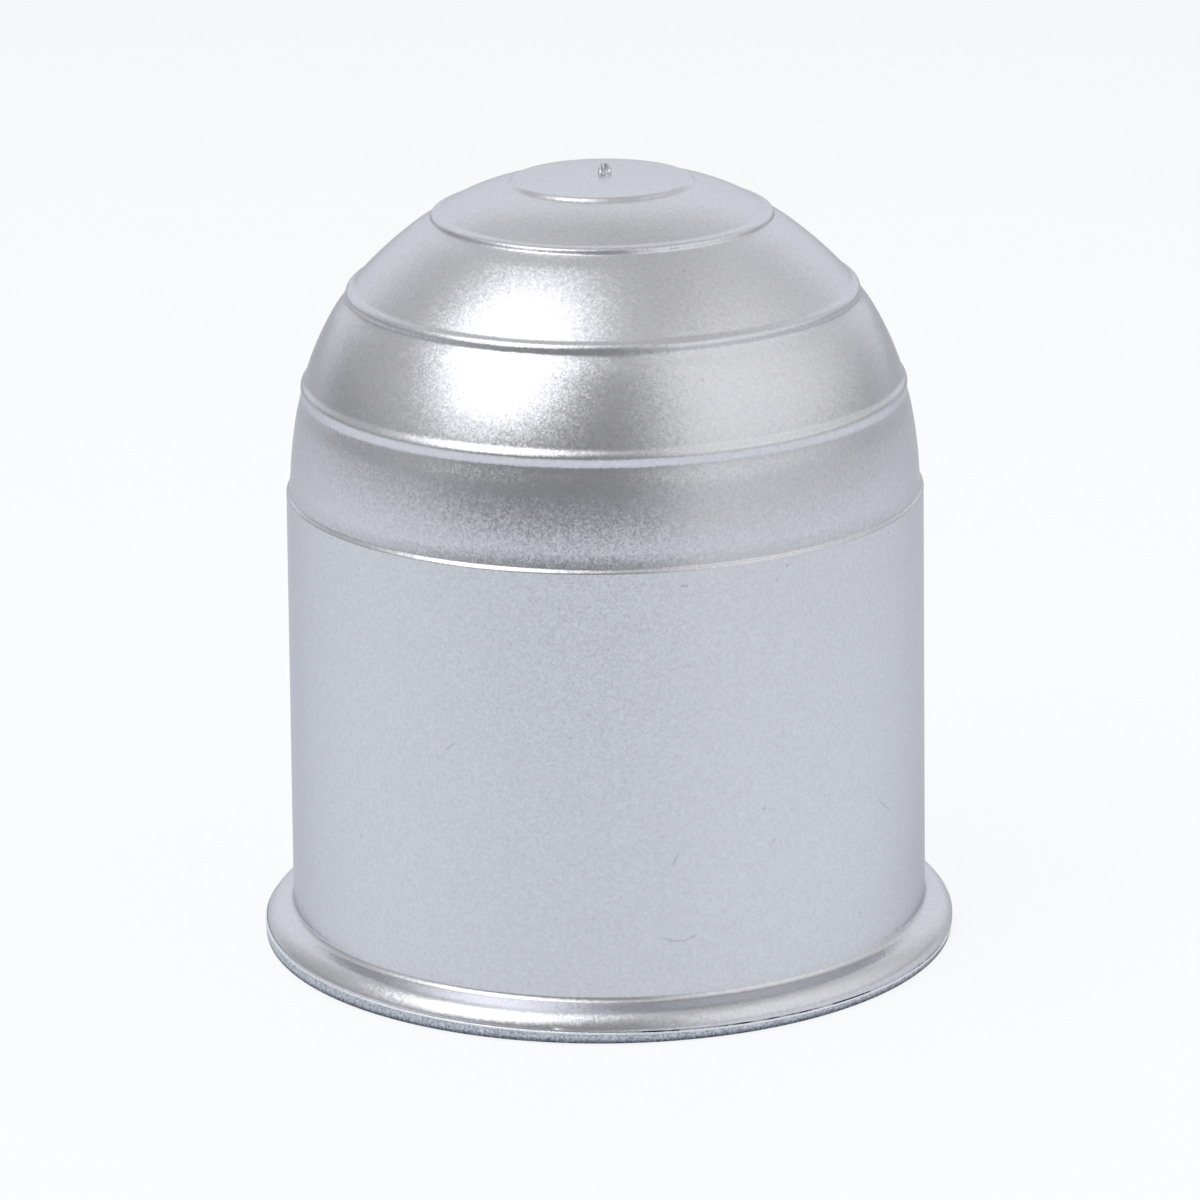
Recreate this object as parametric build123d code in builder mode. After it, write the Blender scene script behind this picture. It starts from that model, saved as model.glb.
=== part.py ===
# Push-on cover for a 50 mm tow ball: one moulded plastic shell, open at the foot.
# The axis of the cover is Z, the foot stands on Z = 0, and all sizes are in millimetres.
import os
from math import radians, tan

from build123d import *

# The ball and the ribs that grip it
ball_diameter = 50.0
rib_grip = 0.1  # bite of each rib into the ball, on the radius
rib_height = 1.3  # from the bore's wall to the crest
rib_width = 1.4
rib_root = 0.4  # depth of each rib's root in the wall
rib_count = 6
rib_foot = 24.0  # height above the foot where the lead-in starts
rib_lead = 4.0  # height over which the lead-in rises to the crest

# The wall and the mouth
skirt_wall = 1.8  # at the shoulder
dome_wall = 1.9  # behind each bead
crown_wall = 1.7
mouth_chamfer = 0.6

# The skirt, from the foot of the cover to the shoulder
shoulder_height = 40.85
skirt_draft = 0.5  # degrees from upright, wider at the foot
shoulder_ledge = 0.2

# The flared rim at the foot
rim_height = 3.3  # top of the flare, where the skirt leaves the rim
rim_overhang = 2.6  # past the skirt's own foot, at the widest
rim_nose = 1.65  # radius of the rolled edge
rim_nose_turn = 67.0  # degrees of roll from the parting line to the flare
parting_height = 1.1  # the mould's parting line round the edge
parting_step = 0.06
band_draft = 4.0  # degrees, the band under the parting line leans in
foot_chamfer = 0.15

# The dome's four tiers, from the shoulder up: height, step inwards and bulge of the arc
lower_rise = 9.9
lower_inset = 1.55
lower_bulge = 0.2
middle_rise = 7.95
middle_inset = 4.1
middle_bulge = 0.39
upper_rise = 6.6
upper_inset = 7.5
upper_bulge = 0.34
cap_rise = 2.6
cap_inset = 6.45
cap_bulge = 0.36

# The raised bead on the corner between one tier and the next
bead_proud = 0.2
bead_crest = 0.3  # width of its flat crest
bead_drop = 0.5  # reach of its sunk base below the corner
bead_run = 1.2  # reach of its sunk base above the corner
bead_depth = 0.2  # of the base in the wall

# The flat crown, and the stub that the mould's gate leaves on it
crown_step = 0.45
crown_ramp = 0.6  # run of the crown's sloped edge
crown_dome = 0.45
gate_radius = 0.5
gate_taper = 0.12
gate_height = 0.8

# Sizes that follow from these
bore_radius = ball_diameter / 2 - rib_grip + rib_height
crest_radius = bore_radius - rib_height
shoulder_radius = bore_radius + skirt_wall
skirt_foot_radius = shoulder_radius + (shoulder_height - rim_height) * tan(radians(skirt_draft))
rim_radius = skirt_foot_radius + rim_overhang
band_radius = rim_radius - parting_step
foot_radius = band_radius - parting_height * tan(radians(band_draft))
tiers = (
    (lower_rise, lower_inset, lower_bulge),
    (middle_rise, middle_inset, middle_bulge),
    (upper_rise, upper_inset, upper_bulge),
    (cap_rise, cap_inset, cap_bulge),
)
dome_rise = sum(rise for rise, inset, bulge in tiers)
crown_height = shoulder_height + dome_rise + crown_step + crown_dome


def hollow(seats, growth):
    """Corners of the hollow's half section, grown into the wall by a depth."""
    return [
        (0, 0),
        (bore_radius + growth, 0),
        (bore_radius + growth, shoulder_height),
        *[corner + inwards * (dome_wall - growth) for corner, along, inwards in seats],
        (0, crown_height - crown_wall + growth),
    ]


# The shell, turned from its section
with BuildPart() as cover:
    with BuildSketch(Plane.XZ) as section:
        # Foot, the band under the parting line, the rolled edge and the flare
        with BuildLine():
            Polyline(
                (0, 0),
                (foot_radius, 0),
                (band_radius, parting_height),
                (rim_radius, parting_height),
            )
            nose = CenterArc((rim_radius - rim_nose, parting_height), rim_nose, 0, rim_nose_turn)

            # Skirt, shoulder ledge and tiers, with the place and lean of each corner between tiers
            corner = Vector(shoulder_radius - shoulder_ledge, shoulder_height)
            Polyline(
                nose @ 1,
                (skirt_foot_radius, rim_height),
                (shoulder_radius, shoulder_height),
                corner,
            )
            ends = []
            for rise, inset, bulge in tiers:
                tier = SagittaArc(corner, corner + Vector(-inset, rise), -bulge)
                corner = tier @ 1
                along = tier % 1
                ends.append((corner, along, Vector(-along.Y, along.X)))
            seats = ends[:-1]

            # Crown and axis
            crown_edge = corner + Vector(-crown_ramp, crown_step)
            Line(corner, crown_edge)
            TangentArc((0, crown_height), crown_edge, tangent=(1, 0))
            Line((0, crown_height), (0, 0))
        make_face()
        chamfer(section.vertices().sort_by_distance((foot_radius, 0))[0], foot_chamfer)

        # Beads on the corners between two tiers
        for corner, along, inwards in seats:
            with BuildLine():
                Polyline(
                    corner + inwards * bead_depth - along * bead_drop,
                    corner - inwards * bead_proud - along * bead_crest / 2,
                    corner - inwards * bead_proud + along * bead_crest / 2,
                    corner + inwards * bead_depth + along * bead_run,
                    close=True,
                )
            make_face()

        # Stub of the gate, sunk a little into the crown
        with BuildLine():
            Polyline(
                (0, crown_height - gate_taper),
                (gate_radius, crown_height - gate_taper),
                (gate_radius - gate_taper, crown_height + gate_height),
                (0, crown_height + gate_height),
                close=True,
            )
        make_face()

        # Hollow, with a chamfer round the mouth
        with BuildLine():
            Polyline(*hollow(seats, 0), close=True)
        make_face(mode=Mode.SUBTRACT)
        chamfer(section.vertices().sort_by_distance((bore_radius, 0))[0], mouth_chamfer)
    revolve(axis=Axis.Z)

    # Ribs inside: an upright crest with a lead-in below, which runs out where the dome closes in
    with BuildSketch(Plane.XZ):
        with BuildLine():
            Polyline(
                (bore_radius, rib_foot),
                (crest_radius, rib_foot + rib_lead),
                (crest_radius, crown_height),
                (shoulder_radius, crown_height),
                (shoulder_radius, rib_foot),
                close=True,
            )
        make_face()
        with BuildLine():
            Polyline(*hollow(seats, rib_root), close=True)
        make_face(mode=Mode.INTERSECT)
    rib = extrude(amount=rib_width / 2, both=True, mode=Mode.PRIVATE)
    with PolarLocations(0, rib_count, start_angle=180 / rib_count):
        add(rib)
cover.part.label = "cover"

os.makedirs("parts", exist_ok=True)
export_step(cover.part, "parts/cover.step")
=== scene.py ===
from math import atan2, cos, degrees, pi, radians, sin

import bmesh
import bpy
from mathutils import Matrix, Vector


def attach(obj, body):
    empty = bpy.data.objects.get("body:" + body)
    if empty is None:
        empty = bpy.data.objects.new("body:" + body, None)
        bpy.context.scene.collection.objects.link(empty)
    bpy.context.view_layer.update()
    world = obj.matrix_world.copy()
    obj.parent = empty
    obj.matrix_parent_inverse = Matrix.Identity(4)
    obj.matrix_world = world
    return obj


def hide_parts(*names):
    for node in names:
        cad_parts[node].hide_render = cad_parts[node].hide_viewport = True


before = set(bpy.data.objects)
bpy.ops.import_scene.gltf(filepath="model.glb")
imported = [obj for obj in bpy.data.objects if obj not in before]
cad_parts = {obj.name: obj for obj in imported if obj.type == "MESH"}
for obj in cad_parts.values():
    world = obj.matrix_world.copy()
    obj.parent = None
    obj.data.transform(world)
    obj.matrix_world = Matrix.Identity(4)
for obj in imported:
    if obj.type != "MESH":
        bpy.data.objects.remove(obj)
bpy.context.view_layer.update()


# The cover
# One injection moulding of grey plastic, painted silver outside and open at the foot: a flared rim,
# a plain skirt and a dome of four shallow tiers under a small flat crown. A raised bead runs round
# each corner between two tiers, and six ribs inside grip the ball. It is drawn in millimetres.
bore_radius = 26.2
mouth_chamfer = 0.6
foot_radius = 30.76
lip_height = 0.98  # of the band's top edge, at the mould's parting line
lip_radius = 30.85
lip_shift = 0.06  # to the left, where the two halves of the mould didn't quite meet
lip_slope = 0.01  # of the parting line, up to the left
groove_height = 1.06
groove_radius = 30.62
nose_foot_height = 1.14
nose_foot_radius = 30.8
nose_height = 2.265  # of the corner that the rim's rolled edge rounds off
nose_radius = 30.61
flare_height = 2.695  # halfway out along the flare
flare_radius = 29.2
rim_height = 2.955  # of the corner that the fillet above the flare rounds off
skirt_foot_radius = 28.328
shoulder_radius = 28.0
shoulder_height = 40.85
ledge_height = 41.11
ledge_radius = 27.77
crown_height = 68.8

bead_rise = 0.17
bead_run = 0.7  # from the bead's crest up to the tier above
hollow_run = 1.8  # from the lowest point of the hollow under a bead down to the tier
ledge_rise = 0.1  # of the lower tier's foot, where it curves out to the ledge
ledge_run = 1.4


def swell(distance, rise, run):
    """Height of a rounded line at a distance from its crest."""
    if distance >= run:
        return 0
    return rise * (1 + cos(pi * distance / run)) / 2


def above_bead(distance):
    """Height of the surface above a bead's crest, running out into the tier."""
    return swell(distance, bead_rise, bead_run)


def above_ledge(distance):
    """Height of the soft hollow curve above the ledge at the shoulder."""
    return ledge_rise * max(0, 1 - distance / ledge_run) ** 2


def under_bead(distance, drop_run, hollow_depth):
    """Height of the surface below a bead's crest, down through the hollow to the tier."""
    if distance >= drop_run:
        return -swell(distance - drop_run, hollow_depth, hollow_run)
    return swell(distance, bead_rise + hollow_depth, drop_run) - hollow_depth


def spread(start, end, count):
    """Even steps from a start, left out, to an end."""
    return [start + (end - start) * step / count for step in range(1, count + 1)]


# Each tier of the dome, from the shoulder up: step inwards, rise, bulge of its arc, the raised line
# at its foot, and the run and depth of the drop from its top bead to the hollow under it
tiers = (
    (1.34, 9.31, 0.27, above_ledge, 1.0, 0.05),
    (4.18, 8.36, 0.41, above_bead, 0.8, 0.08),
    (7.5, 6.52, 0.34, above_bead, 0.5, 0.08),
    (7.15, 2.72, 0.435, above_bead, 0, 0),
)
crown_step = 0.32
crown_run = 0.8


def tier_line(start, inset, rise, bulge, foot_line, drop_run, hollow_depth):
    """Points up one tier, close together on the raised lines at its two ends."""
    chord = Vector((-inset, rise))
    outwards = Vector((rise, inset)).normalized()
    top_run = drop_run or crown_run
    hollow_end = chord.length - top_run - (hollow_run if drop_run else 0)
    foot_run = min(ledge_run, hollow_end / 2)
    steps = spread(0, foot_run, 12)
    steps += spread(foot_run, hollow_end, 8)
    steps += spread(hollow_end, chord.length - top_run, 6)
    steps += spread(chord.length - top_run, chord.length, 12)
    for along in steps:
        share = along / chord.length
        left = chord.length - along
        proud = 4 * bulge * share * (1 - share) + foot_line(along)
        if drop_run:
            proud += under_bead(left, drop_run, hollow_depth)
        else:
            proud += swell(left, crown_step, crown_run)
        yield start + chord * share + outwards * proud


# Outside, from the mouth up to the crown, with how far back from some corners their rounds start
outside = [
    Vector((bore_radius + mouth_chamfer, 0)),
    Vector((foot_radius, 0)),
    Vector((lip_radius, lip_height)),
    Vector((groove_radius, groove_height)),
    Vector((nose_foot_radius, nose_foot_height)),
    Vector((nose_radius, nose_height)),
    Vector((flare_radius, flare_height)),
    Vector((skirt_foot_radius, rim_height)),
    Vector((shoulder_radius, shoulder_height)),
    Vector((ledge_radius, ledge_height)),
]
rounds = {1: 0.12, 2: 0.08, 3: 0.02, 4: 0.03, 5: 1.06, 6: 0.3, 7: 0.4, 8: 0.1, 9: 0.08}
corner = Vector((ledge_radius - ledge_rise, ledge_height))
for tier in tiers:
    outside += tier_line(corner, *tier)
    corner += Vector((-tier[0], tier[1]))
crown_edge = outside[-1]
crown_dome = crown_height - crown_edge.y

# The torn stub of the mould's gate in the middle of the crown: a small ring with a dished middle
gate_radius = 0.62
gate_height = 0.78
for radius in spread(crown_edge.x, gate_radius, 9):
    outside.append(Vector((radius, crown_height - crown_dome * (radius / crown_edge.x) ** 2)))
outside += [
    Vector((0.57, crown_height + gate_height * 0.55)),
    Vector((0.5, crown_height + gate_height)),
    Vector((0.38, crown_height + gate_height * 0.9)),
    Vector((0.28, crown_height + gate_height * 0.3)),
    Vector((0, crown_height + gate_height * 0.15)),
]

# Inside, from the mouth up to the top of the hollow
rib_foot = 24.0
rib_lead = 4.0
rib_crest_radius = 24.9
rib_end = 47.67
inside = [
    Vector((bore_radius + mouth_chamfer, 0)),
    Vector((bore_radius, mouth_chamfer)),
    Vector((bore_radius, rib_foot)),
    Vector((bore_radius, rib_foot + rib_lead)),
    Vector((bore_radius, shoulder_height)),
    Vector((rib_crest_radius, rib_end)),
    Vector((24.4, 50.3)),
    Vector((20.7, 57.5)),
    Vector((13.6, 63.7)),
    Vector((0, 67.1)),
]

# One sixth of the shell is turned from these lines, a column of faces to each degree
paint_slot, edge_slot, plastic_slot = range(3)
shell = bmesh.new()
for line, corner_rounds in ((outside, rounds), (inside, {})):
    older = set(shell.faces)
    verts = [shell.verts.new((point.x, 0, point.y)) for point in line]
    for pair in zip(verts, verts[1:]):
        shell.edges.new(pair)
    for place, reach in corner_rounds.items():
        bmesh.ops.bevel(
            shell, geom=[verts[place]], offset=reach, offset_type="OFFSET", affect="VERTICES",
            segments=7, profile=0.5, material=-1,
        )
    loose = [edge for edge in shell.edges if edge.is_wire]
    drawn = list(dict.fromkeys(vert for edge in loose for vert in edge.verts))
    bmesh.ops.rotate(shell, verts=drawn, matrix=Matrix.Rotation(radians(0.5), 3, "Z"))
    bmesh.ops.spin(shell, geom=drawn + loose, axis=(0, 0, 1), angle=pi / 3, steps=60)
    for face in set(shell.faces) - older:
        if line is inside:
            face.material_index = plastic_slot
        elif face.calc_center_median().z < groove_height:
            face.material_index = edge_slot

# The rib in that sixth, drawn inwards from the wall of the bore
rib_middle = 30
rib_half_turn = 1.5
rib_faces = []
for face in shell.faces:
    middle = face.calc_center_median()
    if face.material_index == plastic_slot and rib_foot < middle.z < rib_end:
        if abs(degrees(atan2(middle.y, middle.x)) - rib_middle) < rib_half_turn:
            rib_faces.append(face)
drawn = bmesh.ops.extrude_face_region(shell, geom=rib_faces)["geom"]
for vert in drawn:
    if isinstance(vert, bmesh.types.BMVert) and rib_foot + 1 < vert.co.z < rib_end - 1:
        vert.co.xy *= rib_crest_radius / vert.co.xy.length
bmesh.ops.delete(shell, geom=[face for face in rib_faces if face.is_valid], context="FACES_ONLY")

# Six such parts make the shell
bmesh.ops.spin(
    shell, geom=shell.verts[:] + shell.edges[:] + shell.faces[:], axis=(0, 0, 1),
    angle=5 * pi / 3, steps=5, use_duplicate=True,
)
bmesh.ops.remove_doubles(shell, verts=shell.verts, dist=0.0005)
bmesh.ops.dissolve_degenerate(shell, edges=shell.edges, dist=0.0005)

# The gate's ring stands a little off the middle, and is torn: it is whole at the left and the back,
# and almost gone at the front right
gate_shift = 0.3
whole_side = radians(110)
for vert in shell.verts:
    above = vert.co.z - crown_height
    if above > -0.01 and vert.co.xy.length < gate_radius + 0.01:
        if 0.01 < vert.co.xy.length < gate_radius - 0.01:
            facing = cos(atan2(vert.co.y, vert.co.x) - whole_side)
            vert.co.z = crown_height + above * (0.1 + 0.8 * min(1, max(0, 0.5 + facing * 1.2)))
        vert.co.x += gate_shift

# The parting line runs a little askew, and the band under it stands a little to the left
band_top = (lip_height + groove_height) / 2
rolled_edge_start = nose_foot_height + 0.04
for vert in shell.verts:
    if vert.co.z < rolled_edge_start and vert.co.xy.length > skirt_foot_radius:
        in_band = vert.co.z < band_top
        if vert.co.z > lip_height / 2:
            vert.co.z -= vert.co.x * lip_slope
        if in_band:
            vert.co.x -= lip_shift

bmesh.ops.scale(shell, verts=shell.verts, vec=(0.001, 0.001, 0.001))
bmesh.ops.recalc_face_normals(shell, faces=shell.faces)
for face in shell.faces:
    face.smooth = True
for edge in shell.edges:
    edge.smooth = edge.calc_face_angle(0) < radians(35)
cover_mesh = bpy.data.meshes.new("cover_shell")
shell.to_mesh(cover_mesh)
shell.free()
cover = bpy.data.objects.new("cover_shell", cover_mesh)
bpy.context.collection.objects.link(cover)


def add(tree, kind, inputs, **settings):
    """Adds a shader node, with its settings, and links or sets the inputs that are named."""
    made = tree.nodes.new("ShaderNode" + kind)
    for name, value in settings.items():
        setattr(made, name, value)
    for name, value in inputs.items():
        if isinstance(value, bpy.types.NodeSocket):
            tree.links.new(value, made.inputs[name])
        else:
            made.inputs[name].default_value = value
    return made


def reckon(tree, operation, first, second=0.0):
    """One number from two others."""
    return add(tree, "Math", {0: first, 1: second}, operation=operation).outputs[0]


def vector_math(tree, operation, inputs, output=0):
    """One vector, or one number, from vectors."""
    return add(tree, "VectorMath", inputs, operation=operation).outputs[output]


def fade(tree, value, start, end):
    """From 1 where a value is at a start to 0 where it is at an end."""
    return add(
        tree, "MapRange",
        {"Value": value, "From Min": start, "From Max": end, "To Min": 1.0, "To Max": 0.0},
        interpolation_type="SMOOTHSTEP",
    ).outputs["Result"]


def mix_colours(tree, factor, first, second):
    """Colour between a first and a second one, by a factor."""
    blend = tree.nodes.new("ShaderNodeMix")
    blend.data_type = "RGBA"
    tree.links.new(factor, blend.inputs["Factor"])
    for socket, colour in ((blend.inputs[6], first), (blend.inputs[7], second)):
        if isinstance(colour, bpy.types.NodeSocket):
            tree.links.new(colour, socket)
        else:
            socket.default_value = (*colour, 1)
    return blend.outputs[2]


def new_group(name, inputs, outputs):
    """A node group with its sockets, and the nodes that hold them inside it."""
    group = bpy.data.node_groups.new(name, "ShaderNodeTree")
    for direction, sockets in (("INPUT", inputs), ("OUTPUT", outputs)):
        for label, kind in sockets.items():
            group.interface.new_socket(label, in_out=direction, socket_type="NodeSocket" + kind)
    given = group.nodes.new("NodeGroupInput").outputs
    result = group.nodes.new("NodeGroupOutput").inputs
    return group, given, result


def place_group(tree, group, inputs):
    """Puts a node group into a material, with its own values."""
    holder = add(tree, "Group", {}, node_tree=group)
    for name, value in inputs.items():
        if isinstance(value, bpy.types.NodeSocket):
            tree.links.new(value, holder.inputs[name])
        else:
            holder.inputs[name].default_value = value
    return holder.outputs


def blank_material(name):
    """A material with nothing in its node tree."""
    material = bpy.data.materials.new(name)
    material.use_nodes = True
    material.node_tree.nodes.clear()
    return material


# Cloudy change between a dark and a light colour
mottle, given, result = new_group(
    "mottle", {"Scale": "Float", "Dark": "Color", "Light": "Color"},
    {"Colour": "Color", "Height": "Float"},
)
spot = add(mottle, "TexCoord", {}).outputs["Object"]
cloud = add(mottle, "TexNoise", {"Vector": spot, "Scale": given["Scale"], "Detail": 2.0})
cloud = add(mottle, "MapRange", {"Value": cloud.outputs[0], "From Min": 0.3, "From Max": 0.7})
cloud = cloud.outputs["Result"]
mottle.links.new(mix_colours(mottle, cloud, given["Dark"], given["Light"]), result["Colour"])
mottle.links.new(cloud, result["Height"])

# Thin soft mark from a start to an end, a little unsteady
scuff, given, result = new_group(
    "scuff", {"Start": "Vector", "End": "Vector", "Width": "Float"}, {"Mask": "Float"}
)
spot = add(scuff, "TexCoord", {}).outputs["Object"]
wobble = add(scuff, "TexNoise", {"Vector": spot, "Scale": 2500.0}).outputs["Color"]
wobble = vector_math(scuff, "SUBTRACT", {0: wobble, 1: (0.5, 0.5, 0.5)})
wobble = vector_math(scuff, "SCALE", {0: wobble, "Scale": 0.00025})
spot = vector_math(scuff, "ADD", {0: spot, 1: wobble})
offset = vector_math(scuff, "SUBTRACT", {0: spot, 1: given["Start"]})
run = vector_math(scuff, "SUBTRACT", {0: given["End"], 1: given["Start"]})
along = reckon(
    scuff, "DIVIDE", vector_math(scuff, "DOT_PRODUCT", {0: offset, 1: run}, "Value"),
    vector_math(scuff, "DOT_PRODUCT", {0: run, 1: run}, "Value"),
)
along = add(scuff, "Clamp", {"Value": along}).outputs[0]
near = vector_math(scuff, "SCALE", {0: run, "Scale": along})
away = vector_math(scuff, "DISTANCE", {0: offset, 1: near}, "Value")
scuff.links.new(fade(scuff, away, 0.0, given["Width"]), result["Mask"])

# Outside, a satin silver paint: fine metal flakes, each lying a little askew in a cloudy coat
flake_tilt = 0.085
mark_strength = 0.45
paint = blank_material("satin_silver_paint")
tree = paint.node_tree
spot = add(tree, "TexCoord", {}).outputs["Object"]
flakes = add(tree, "TexVoronoi", {"Vector": spot, "Scale": 7000.0}).outputs["Color"]
askew = vector_math(tree, "SUBTRACT", {0: flakes, 1: (0.5, 0.5, 0.5)})
askew = vector_math(tree, "SCALE", {0: askew, "Scale": flake_tilt})
facing = vector_math(tree, "ADD", {0: add(tree, "NewGeometry", {}).outputs["Normal"], 1: askew})
facing = vector_math(tree, "NORMALIZE", {0: facing})
silver = place_group(
    tree, mottle,
    {"Scale": 3000.0, "Dark": (0.623, 0.625, 0.668, 1), "Light": (0.696, 0.7, 0.748, 1)},
)["Colour"]

# A few specks of dust under the coat
dust = add(tree, "TexVoronoi", {"Vector": spot, "Scale": 330.0}).outputs
rare = add(tree, "SeparateColor", {"Color": dust["Color"]}).outputs["Red"]
rare = reckon(tree, "GREATER_THAN", rare, 0.8)
marks = reckon(tree, "MULTIPLY", fade(tree, dust["Distance"], 0.02, 0.04), rare)

# Scratches and specks from use, by their turn from the front and height at each end, and width
scratches = (
    (56, 16.5, 60, 15, 0.13),
    (9, 8.5, 11, 8.1, 0.13),
    (11, 8.1, 13, 8.1, 0.13),
    (13, 8.1, 15, 8.5, 0.13),
    (11, 15, 12, 16, 0.12),
    (-29, 24.5, -28, 25, 0.14),
    (29, 15.4, 30, 16, 0.12),
    (13, 39.5, 14, 39.5, 0.18),
    (31, 39, 31, 39, 0.24),
    (33, 40.1, 33, 40.1, 0.24),
    (28, 19, 28, 19, 0.22),
    (50, 7, 50, 7, 0.22),
    (-6.5, 26.5, -6.5, 26.5, 0.2),
    (60, 40.1, 60, 40.1, 0.24),
    (24, 63.7, 24, 63.7, 0.22),
    (20, 56, 20, 56, 0.2),
    (22.5, 65.2, 25.5, 65.2, 0.2),
)


def on_cover(turn, height):
    """Point on the outside of the cover, in metres, by its turn from the front and its height."""
    for below, above in zip(outside[7:], outside[8:]):
        if below.y <= height <= above.y:
            radius = below.lerp(above, (height - below.y) / (above.y - below.y)).x
            turn = radians(turn)
            return Vector((radius * sin(turn), -radius * cos(turn), height)) / 1000


for start_turn, start_height, end_turn, end_height, width in scratches:
    mark = place_group(tree, scuff, {
        "Start": on_cover(start_turn, start_height), "End": on_cover(end_turn, end_height),
        "Width": width / 1000,
    })["Mask"]
    marks = reckon(tree, "MAXIMUM", marks, mark)
marks = reckon(tree, "MULTIPLY", marks, mark_strength)
silver = mix_colours(tree, marks, silver, (0.3, 0.3, 0.31))
coat = add(
    tree, "BsdfPrincipled",
    {
        "Base Color": silver, "Metallic": 1.0, "Roughness": 0.28, "Normal": facing,
        "Specular Tint": (0.73, 0.73, 0.74, 1),
    },
)
add(tree, "OutputMaterial", {"Surface": coat.outputs[0]})
cover_mesh.materials.append(paint)

# Below the parting line the paint is thin and gritty, and its colour is painted dark towards the
# foot, a painted shade where the band meets the floor
edge = blank_material("gritty_edge_paint")
tree = edge.node_tree
spot = add(tree, "TexCoord", {}).outputs["Object"]
place = add(tree, "SeparateXYZ", {"Vector": spot}).outputs
grit = place_group(
    tree, mottle, {"Scale": 4500.0, "Dark": (0.3, 0.32, 0.37, 1), "Light": (0.72, 0.75, 0.8, 1)}
)
# Dark grit for the foot: painted shade along the bottom of the band, where it meets the floor
foot_grit_painted_shade = place_group(
    tree, mottle, {"Scale": 4500.0, "Dark": (0.04, 0.045, 0.07, 1), "Light": (0.24, 0.26, 0.32, 1)}
)["Colour"]
band_colour = mix_colours(tree, fade(tree, place["Z"], 0.0001, 0.00055), grit["Colour"], foot_grit_painted_shade)

# The lip just under the parting line is painted light, a painted highlight along its ledge, and
# parts of the groove at the right are painted dark: pits, and painted shade under the overhang
lip = lip_height / 1000
height = reckon(tree, "ADD", place["Z"], reckon(tree, "MULTIPLY", place["X"], lip_slope))
# Painted highlight: the lip's colour is lighter along the ledge under the parting line
lip_highlight = fade(tree, height, lip - 0.00008, lip - 0.00018)
band_colour = mix_colours(tree, lip_highlight, band_colour, (0.86, 0.87, 0.9))
gaps = add(tree, "TexNoise", {"Vector": spot, "Scale": 400.0, "Detail": 3.0}).outputs[0]
at_right = fade(tree, place["X"], 0.003, -0.002)
# Dark patches in the groove at the right: pits, and painted shade under the overhang of the upper
# half
groove_pits_and_shade = reckon(tree, "MULTIPLY", fade(tree, gaps, 0.56, 0.44), at_right)
groove_pits_and_shade = reckon(tree, "MULTIPLY", groove_pits_and_shade, fade(tree, height, lip + 0.00003, lip))
band_colour = mix_colours(tree, groove_pits_and_shade, band_colour, (0.05, 0.05, 0.06))
bump = add(tree, "Bump", {"Height": grit["Height"], "Strength": 1.0, "Distance": 0.00003})
rough = add(
    tree, "BsdfPrincipled",
    {"Base Color": band_colour, "Metallic": 1.0, "Roughness": 0.4, "Normal": bump.outputs[0]},
)
add(tree, "OutputMaterial", {"Surface": rough.outputs[0]})
cover_mesh.materials.append(edge)

# Inside, the bare grey plastic, with the faint cloud of the moulding
plastic = blank_material("bare_grey_plastic")
tree = plastic.node_tree
flow = place_group(
    tree, mottle, {"Scale": 300.0, "Dark": (0.27, 0.275, 0.28, 1), "Light": (0.34, 0.345, 0.35, 1)}
)
bump = add(tree, "Bump", {"Height": flow["Height"], "Strength": 0.3, "Distance": 0.00005})
bare = add(
    tree, "BsdfPrincipled",
    {"Base Color": flow["Colour"], "Roughness": 0.5, "Normal": bump.outputs[0]},
)
add(tree, "OutputMaterial", {"Surface": bare.outputs[0]})
cover_mesh.materials.append(plastic)

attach(cover, "root")
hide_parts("cover")


# The table
# A wide pale board under the cover. It runs out of the picture on all sides, its front edge lies
# just behind the camera, and its colour is painted darker towards its far ends, a painted pool of
# light round the cover.
front_edge = 0.56
painted_pool_middle = (-0.06, -0.16, 0)
glow_share = 0.88  # of an even white, as the camera sees the board
mirrored_share = 0.5  # of that, as the cover's paint mirrors the board
board = bmesh.new()
bmesh.ops.create_grid(board, x_segments=1, y_segments=1, size=4)
bmesh.ops.translate(board, verts=board.verts, vec=(0, 4 - front_edge, -0.0001))
table_mesh = bpy.data.meshes.new("table")
board.to_mesh(table_mesh)
board.free()
table = bpy.data.objects.new("table", table_mesh)
bpy.context.collection.objects.link(table)
pale = blank_material("pale_board")
tree = pale.node_tree
ray = add(tree, "LightPath", {}).outputs
mirrored = reckon(tree, "MAXIMUM", ray["Is Glossy Ray"], ray["Is Transmission Ray"])
mirrored = reckon(tree, "MULTIPLY", mirrored, mirrored_share)
seen = reckon(tree, "MAXIMUM", ray["Is Camera Ray"], mirrored)
share = reckon(tree, "MULTIPLY", seen, glow_share)
spot = add(tree, "TexCoord", {}).outputs["Object"]
# Painted pool of light: the board's colour is light near this middle and painted darker further off
painted_pool = vector_math(tree, "DISTANCE", {0: spot, 1: painted_pool_middle}, "Value")
painted_pool = fade(tree, painted_pool, 0.15, 0.8)
painted_pool_colour = mix_colours(tree, painted_pool, (0.35, 0.36, 0.38), (0.88, 0.93, 1))
lit = add(tree, "BsdfDiffuse", {"Color": painted_pool_colour})
glow = add(tree, "Emission", {"Color": (0.98, 0.99, 1, 1), "Strength": 1.0})
both = add(tree, "MixShader", {0: share, 1: lit.outputs[0], 2: glow.outputs[0]})
add(tree, "OutputMaterial", {"Surface": both.outputs[0]})
table_mesh.materials.append(pale)


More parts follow.
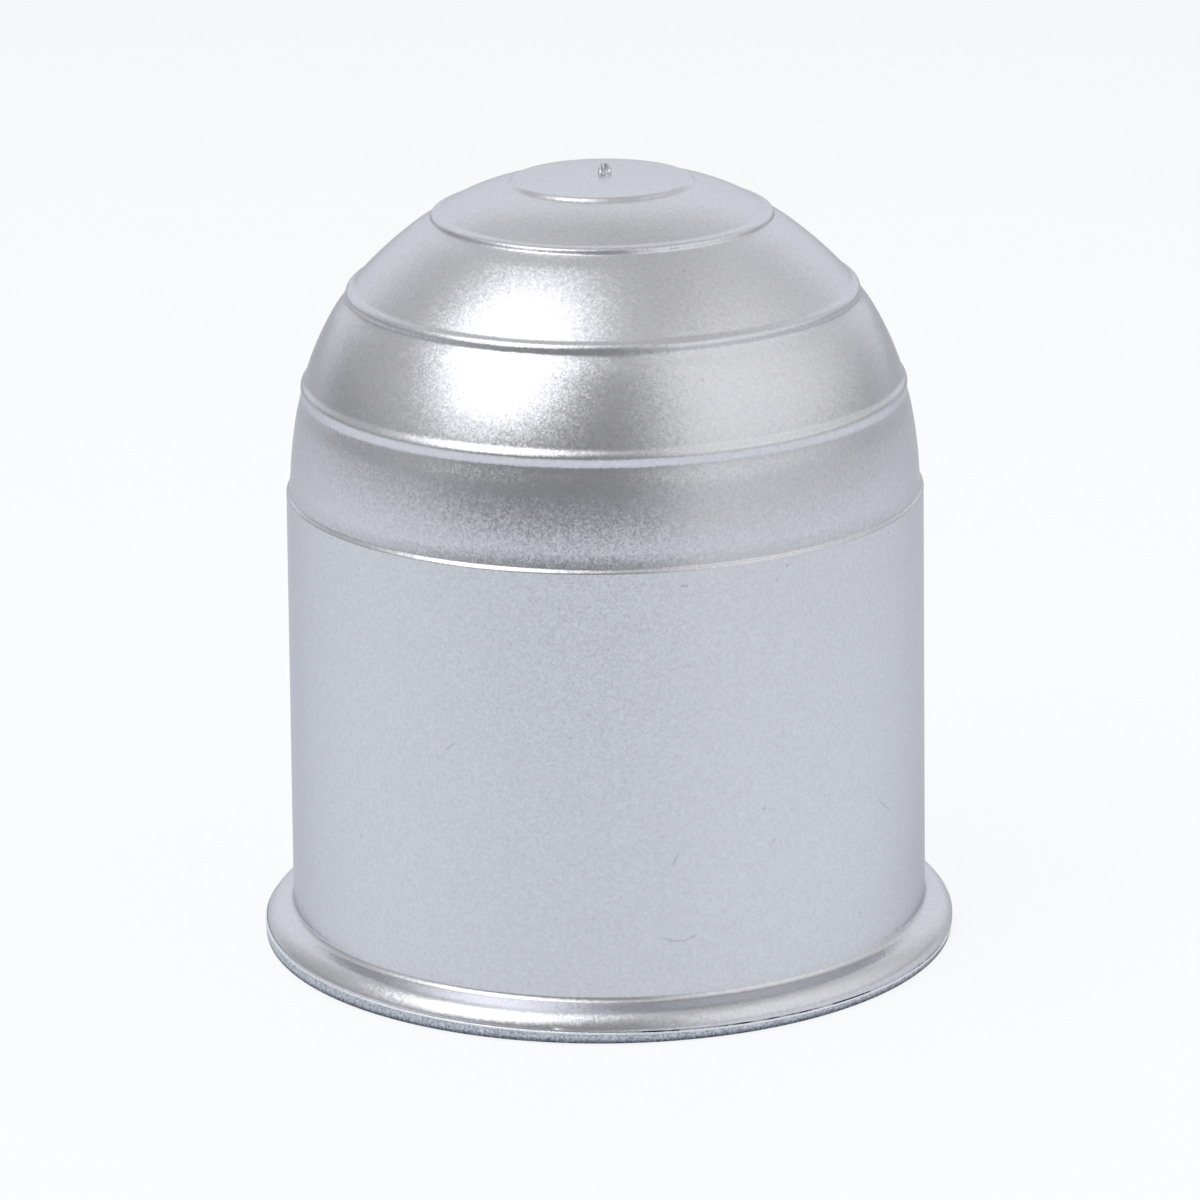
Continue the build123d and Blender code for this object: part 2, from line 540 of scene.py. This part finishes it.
# The light
# A grey room, dark in front where the camera stands and pale at the right and behind, with one
# large softbox high at the left, its edges dimming into the room.
room = bpy.data.worlds.new("grey_room")
room.use_nodes = True
room.node_tree.nodes.clear()
tree = room.node_tree
gaze = add(tree, "TexCoord", {}).outputs["Generated"]
towards = add(tree, "SeparateXYZ", {"Vector": gaze}).outputs
turn = reckon(tree, "ARCTAN2", towards["X"], reckon(tree, "MULTIPLY", towards["Y"], -1.0))
climb = reckon(tree, "ARCSINE", towards["Z"])

# Lightness of the walls by the turn to the right of the camera, in degrees
walls = (
    (-180, 0.75), (-150, 0.7), (-115, 0.54), (-80, 0.58), (-40, 0.25), (5, 0.33),
    (42, 1.04), (75, 1.0), (130, 0.72), (180, 0.75),
)
round_room = add(tree, "MapRange", {"Value": turn, "From Min": -pi, "From Max": pi})
ramp = add(tree, "ValToRGB", {"Fac": round_room.outputs["Result"]})
ramp.color_ramp.interpolation = "EASE"
stops = ramp.color_ramp.elements
for bearing, lightness in walls[1:-1]:
    stops.new((bearing + 180) / 360)
for stop, (bearing, lightness) in zip(stops, walls):
    stop.color = (lightness, lightness, lightness, 1)
dim_skirting = 0.65
low = add(
    tree, "MapRange",
    {"Value": climb, "From Min": radians(4), "From Max": radians(16), "To Min": dim_skirting},
    interpolation_type="SMOOTHSTEP",
).outputs["Result"]
level = reckon(tree, "MULTIPLY", ramp.outputs["Color"], low)
ceiling = 0.59
under = fade(tree, climb, radians(50), radians(72))
level = add(tree, "Mix", {"Factor": under, "A": ceiling, "B": level}).outputs["Result"]

# A paler backdrop stands low behind the cover
backdrop = 1.08
behind = fade(tree, towards["Y"], 0.9, 0.55)
level = add(tree, "Mix", {"Factor": behind, "A": level, "B": backdrop}).outputs["Result"]

# The softbox, by its turn, climb and lean in degrees and the tangents of its half angles
softbox_turn = -55.5
softbox_climb = 50.5
softbox_lean = -25
softbox_aim = (
    Matrix.Rotation(radians(softbox_turn), 3, "Z")
    @ Matrix.Rotation(radians(-softbox_climb), 3, "X")
    @ Matrix.Rotation(radians(softbox_lean), 3, "Y")
)
softbox_width = 0.36
softbox_height = 0.51
softbox_edge = 0.33
softbox_level = 2.65
ahead = add(
    tree, "Mapping", {"Vector": gaze, "Rotation": softbox_aim.to_euler()}, vector_type="TEXTURE"
).outputs[0]
ahead = add(tree, "SeparateXYZ", {"Vector": ahead}).outputs
depth = reckon(tree, "MULTIPLY", ahead["Y"], -1.0)
shine = reckon(tree, "GREATER_THAN", depth, 0.05)
for side, half in ((ahead["X"], softbox_width), (ahead["Z"], softbox_height)):
    reach = reckon(tree, "ABSOLUTE", reckon(tree, "DIVIDE", side, depth))
    lit = fade(tree, reach, half - softbox_edge, half + softbox_edge)
    shine = reckon(tree, "MULTIPLY", shine, lit)
level = add(tree, "Mix", {"Factor": shine, "A": level, "B": softbox_level}).outputs["Result"]
daylight = mix_colours(tree, behind, (1, 1, 0.985), (0.97, 1, 1.03))
surround = add(tree, "Background", {"Color": daylight, "Strength": level})
add(tree, "OutputWorld", {"Surface": surround.outputs[0]})
bpy.context.scene.world = room


# The camera
# A long lens from in front and a little above, as the photograph was taken. It looks down by its
# pitch and leans by its roll, both in degrees.
camera_place = (-0.00055, -0.49046, 0.1788)
camera_pitch = 16.867
camera_roll = -0.63
lens = bpy.data.cameras.new("camera")
lens.sensor_width = 36
lens.lens = 173.68
camera = bpy.data.objects.new("camera", lens)
bpy.context.collection.objects.link(camera)
camera.matrix_world = (
    Matrix.Translation(camera_place)
    @ Matrix.Rotation(radians(90 - camera_pitch), 4, "X")
    @ Matrix.Rotation(radians(camera_roll), 4, "Z")
)
bpy.context.scene.camera = camera
bpy.context.scene.view_settings.view_transform = "Standard"
